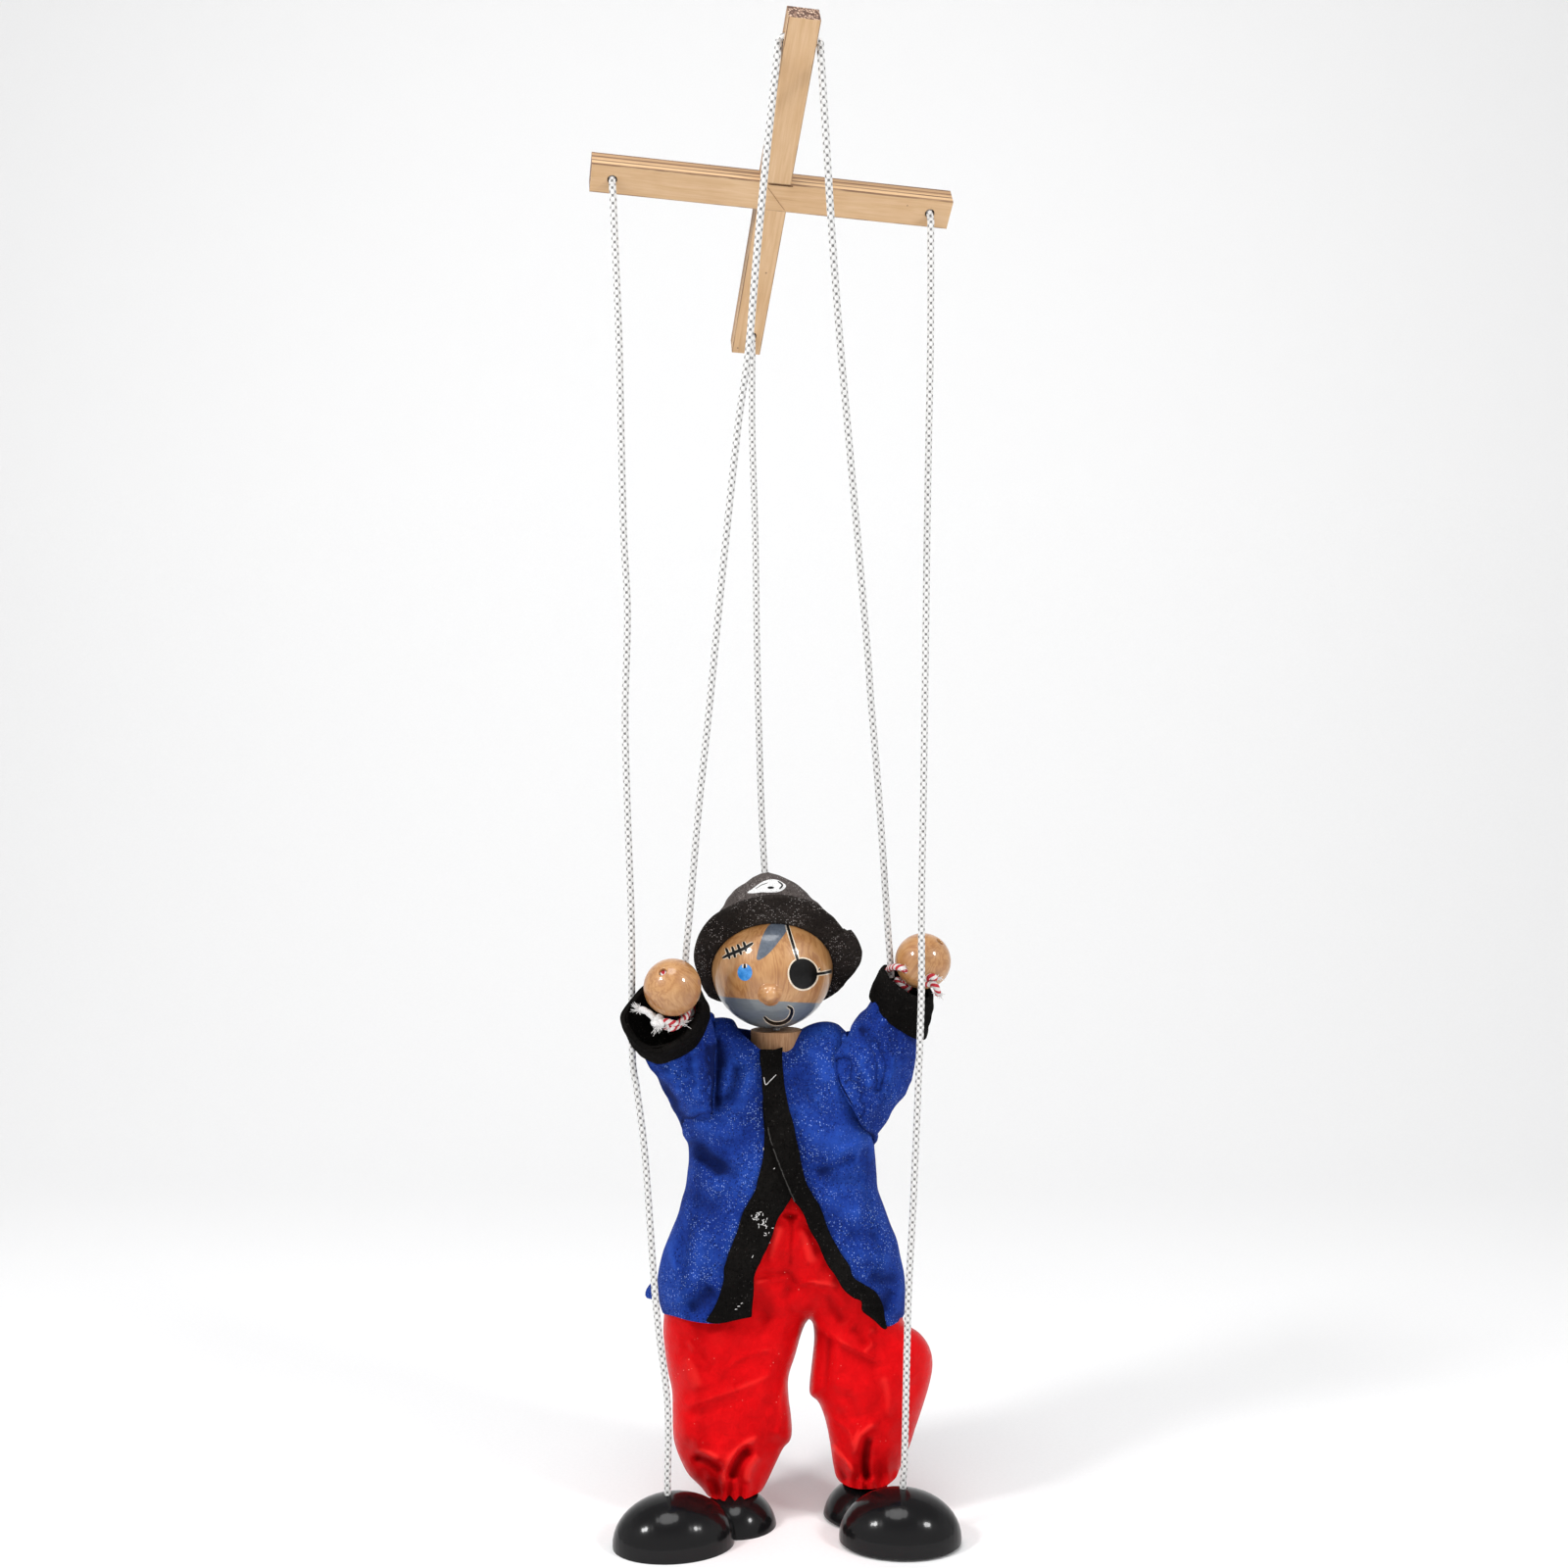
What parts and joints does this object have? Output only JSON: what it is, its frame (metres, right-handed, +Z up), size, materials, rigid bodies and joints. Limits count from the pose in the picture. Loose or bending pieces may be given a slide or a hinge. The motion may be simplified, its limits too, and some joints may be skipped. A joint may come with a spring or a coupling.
{
  "type": "wooden string marionette",
  "caption": "Pull-string wooden puppet in felt jacket, satin trousers and black hat, hung on braided cords from a crossed two-bar hand control.",
  "frame": {"origin": "centre of the crossing of the two control bars, where the hand holds them", "axes": "+Z up; -Y towards the viewer, the way the puppet faces; +X to the viewer's right"},
  "size_m": [0.1163, 0.1044, 0.4646],
  "materials": {
    "pale_wood": "plain sanded pale plywood",
    "varnished_wood": "orange-tan gloss varnish, painted face",
    "raw_wood": "unfinished turned wood",
    "white_braid": "white braided cotton cord",
    "striped_twine": "red and white twisted twine",
    "black_felt": "matte black felt",
    "blue_felt": "royal blue felt with light speckle",
    "red_satin": "red satin",
    "black_gloss": "glossy black lacquer on wood"
  },
  "bodies": {
    "control": {"control_bar": "pale_wood", "cross_bar": "pale_wood", "head_cord_knot": "white_braid", "foot_cord_knots": "white_braid", "hand_cord_bridge": "white_braid"},
    "head_line": {"head_cord": "white_braid"},
    "torso": {"torso_block": "raw_wood", "head_cord_core": "white_braid", "arm_twine_core": "striped_twine", "leg_twine_core": "striped_twine", "jacket_body": "blue_felt", "jacket_trim_left": "black_felt", "jacket_trim_right": "black_felt", "pants_seat": "red_satin"},
    "head": {"hat_crown": "black_felt", "hat_brim": "black_felt", "head_ball": "varnished_wood", "nose": "varnished_wood"},
    "arm_left": {"arm_twine_left": "striped_twine", "hand_left": "varnished_wood", "wrist_wrap_left": "striped_twine", "sleeve_left": "blue_felt", "cuff_left": "black_felt"},
    "arm_right": {"arm_twine_right": "striped_twine", "hand_right": "varnished_wood", "wrist_wrap_right": "striped_twine", "sleeve_right": "blue_felt", "cuff_right": "black_felt"},
    "thigh_left": {"pants_thigh_left": "red_satin", "leg_twine_thigh_left": "striped_twine"},
    "shin_left": {"pants_shin_left": "red_satin", "leg_twine_shin_left": "striped_twine"},
    "foot_left": {"shoe_toe_left": "black_gloss", "shoe_heel_left": "black_gloss", "shoe_knot_left": "striped_twine"},
    "thigh_right": {"pants_thigh_right": "red_satin", "leg_twine_thigh_right": "striped_twine"},
    "shin_right": {"pants_shin_right": "red_satin", "leg_twine_shin_right": "striped_twine"},
    "foot_right": {"shoe_toe_right": "black_gloss", "shoe_heel_right": "black_gloss", "shoe_knot_right": "striped_twine"},
    "hand_line_left": {"hand_cord_left": "white_braid"},
    "hand_line_right": {"hand_cord_right": "white_braid"},
    "foot_line_left": {"foot_cord_left": "white_braid"},
    "foot_line_right": {"foot_cord_right": "white_braid"},
    "hand_line_left_end": {"hand_cord_left_end": "white_braid"},
    "hand_line_right_end": {"hand_cord_right_end": "white_braid"},
    "foot_line_left_end": {"foot_cord_left_end": "white_braid"},
    "foot_line_right_end": {"foot_cord_right_end": "white_braid"}
  },
  "joints": [
    {"name": "puppet_sway", "type": "hinge", "parent": "control", "child": "head_line", "pos_m": [-0.0052, 0.036, -0.037], "axis": [0, 1, 0], "range_deg": [-5, 5], "deforming": ["head_cord", "hand_cord_left", "hand_cord_right", "foot_cord_left", "foot_cord_right"]},
    {"name": "puppet_level", "type": "hinge", "parent": "head_line", "child": "torso", "pos_m": [-0.0046, 0.037, -0.212], "axis": [0, 1, 0], "range_deg": [-5, 5]},
    {"name": "head_turn", "type": "hinge", "parent": "torso", "child": "head", "pos_m": [0.001, 0.037, -0.2644], "axis": [-0.0698, 0, 0.9976], "range_deg": [-25, 20]},
    {"name": "left_arm_raise", "type": "hinge", "parent": "torso", "child": "arm_left", "pos_m": [-0.016, 0.0402, -0.2785], "axis": [-0.9211, 0.3893, 0], "range_deg": [-6, 6], "deforming": ["hand_cord_left_end", "hand_cord_right_end"]},
    {"name": "right_arm_raise", "type": "hinge", "parent": "torso", "child": "arm_right", "pos_m": [0.018, 0.0402, -0.2785], "axis": [-0.4937, -0.8697, 0], "range_deg": [-5.61, 5.61]},
    {"name": "left_hip", "type": "hinge", "parent": "torso", "child": "thigh_left", "pos_m": [-0.014, 0.037, -0.355], "axis": [-1, 0, 0], "range_deg": [0, 42], "deforming": ["foot_cord_left_end"]},
    {"name": "left_knee", "type": "hinge", "parent": "thigh_left", "child": "shin_left", "pos_m": [-0.014, 0.03361, -0.38078], "axis": [-1, 0, 0], "range_deg": [-84, 0]},
    {"name": "left_ankle", "type": "hinge", "parent": "shin_left", "child": "foot_left", "pos_m": [-0.014, 0.03021, -0.40655], "axis": [-1, 0, 0], "range_deg": [0, 42]},
    {"name": "right_hip", "type": "hinge", "parent": "torso", "child": "thigh_right", "pos_m": [0.028, 0.037, -0.355], "axis": [-1, 0, 0], "range_deg": [0, 42], "deforming": ["foot_cord_right_end"]},
    {"name": "right_knee", "type": "hinge", "parent": "thigh_right", "child": "shin_right", "pos_m": [0.028, 0.03587, -0.38098], "axis": [-1, 0, 0], "range_deg": [-84, 0]},
    {"name": "right_ankle", "type": "hinge", "parent": "shin_right", "child": "foot_right", "pos_m": [0.028, 0.03473, -0.40695], "axis": [-1, 0, 0], "range_deg": [0, 42]},
    {"name": "hand_line_left_sway", "type": "hinge", "parent": "control", "child": "hand_line_left", "pos_m": [0.002, -0.0368, 0.0312], "axis": [0, 1, 0], "range_deg": [-3.26, 3.26]},
    {"name": "hand_line_left_pull", "type": "slide", "parent": "hand_line_left", "child": "hand_line_left_end", "axis": [0.2595, 0.614, 0.7455], "range_m": [-0.00428, 0.00428]},
    {"name": "hand_line_right_sway", "type": "hinge", "parent": "control", "child": "hand_line_right", "pos_m": [0.014, -0.035, 0.0308], "axis": [0, 1, 0], "range_deg": [-3.3, 3.3]},
    {"name": "hand_line_right_pull", "type": "slide", "parent": "hand_line_right", "child": "hand_line_right_end", "axis": [-0.6682, 0.3793, 0.64], "range_m": [-0.0041, 0.0041]},
    {"name": "foot_line_left_sway", "type": "hinge", "parent": "control", "child": "foot_line_left", "pos_m": [-0.0485, -0.0113, -0.0018], "axis": [0, 1, 0], "range_deg": [-2.18, 2.18]},
    {"name": "foot_line_left_pull", "type": "slide", "parent": "foot_line_left", "child": "foot_line_left_end", "axis": [0, 0.1305, 0.9914], "range_m": [0, 0.01336]},
    {"name": "foot_line_right_sway", "type": "hinge", "parent": "control", "child": "foot_line_right", "pos_m": [0.0495, 0.0068, -0.0065], "axis": [0, 1, 0], "range_deg": [-2.2, 2.2]},
    {"name": "foot_line_right_pull", "type": "slide", "parent": "foot_line_right", "child": "foot_line_right_end", "axis": [0, 0.0436, 0.999], "range_m": [0, 0.01336]}
  ],
  "couplings": [
    {"joint": "puppet_level", "follows": "puppet_sway", "ratio": -1},
    {"joint": "right_arm_raise", "follows": "left_arm_raise", "ratio": -0.9327},
    {"joint": "left_knee", "follows": "left_hip", "ratio": -2},
    {"joint": "left_ankle", "follows": "left_hip", "ratio": 1},
    {"joint": "right_knee", "follows": "right_hip", "ratio": -2},
    {"joint": "right_ankle", "follows": "right_hip", "ratio": 1},
    {"joint": "hand_line_left_sway", "follows": "puppet_sway", "ratio": 0.6501},
    {"joint": "hand_line_left_pull", "follows": "left_arm_raise", "m_per_rad": 0.04091},
    {"joint": "hand_line_right_sway", "follows": "puppet_sway", "ratio": 0.6584},
    {"joint": "hand_line_right_pull", "follows": "left_arm_raise", "m_per_rad": -0.039139},
    {"joint": "foot_line_left_sway", "follows": "puppet_sway", "ratio": 0.434},
    {"joint": "foot_line_left_pull", "follows": "left_hip", "m_per_rad": 0.018221},
    {"joint": "foot_line_right_sway", "follows": "puppet_sway", "ratio": 0.4381},
    {"joint": "foot_line_right_pull", "follows": "right_hip", "m_per_rad": 0.018221}
  ]
}
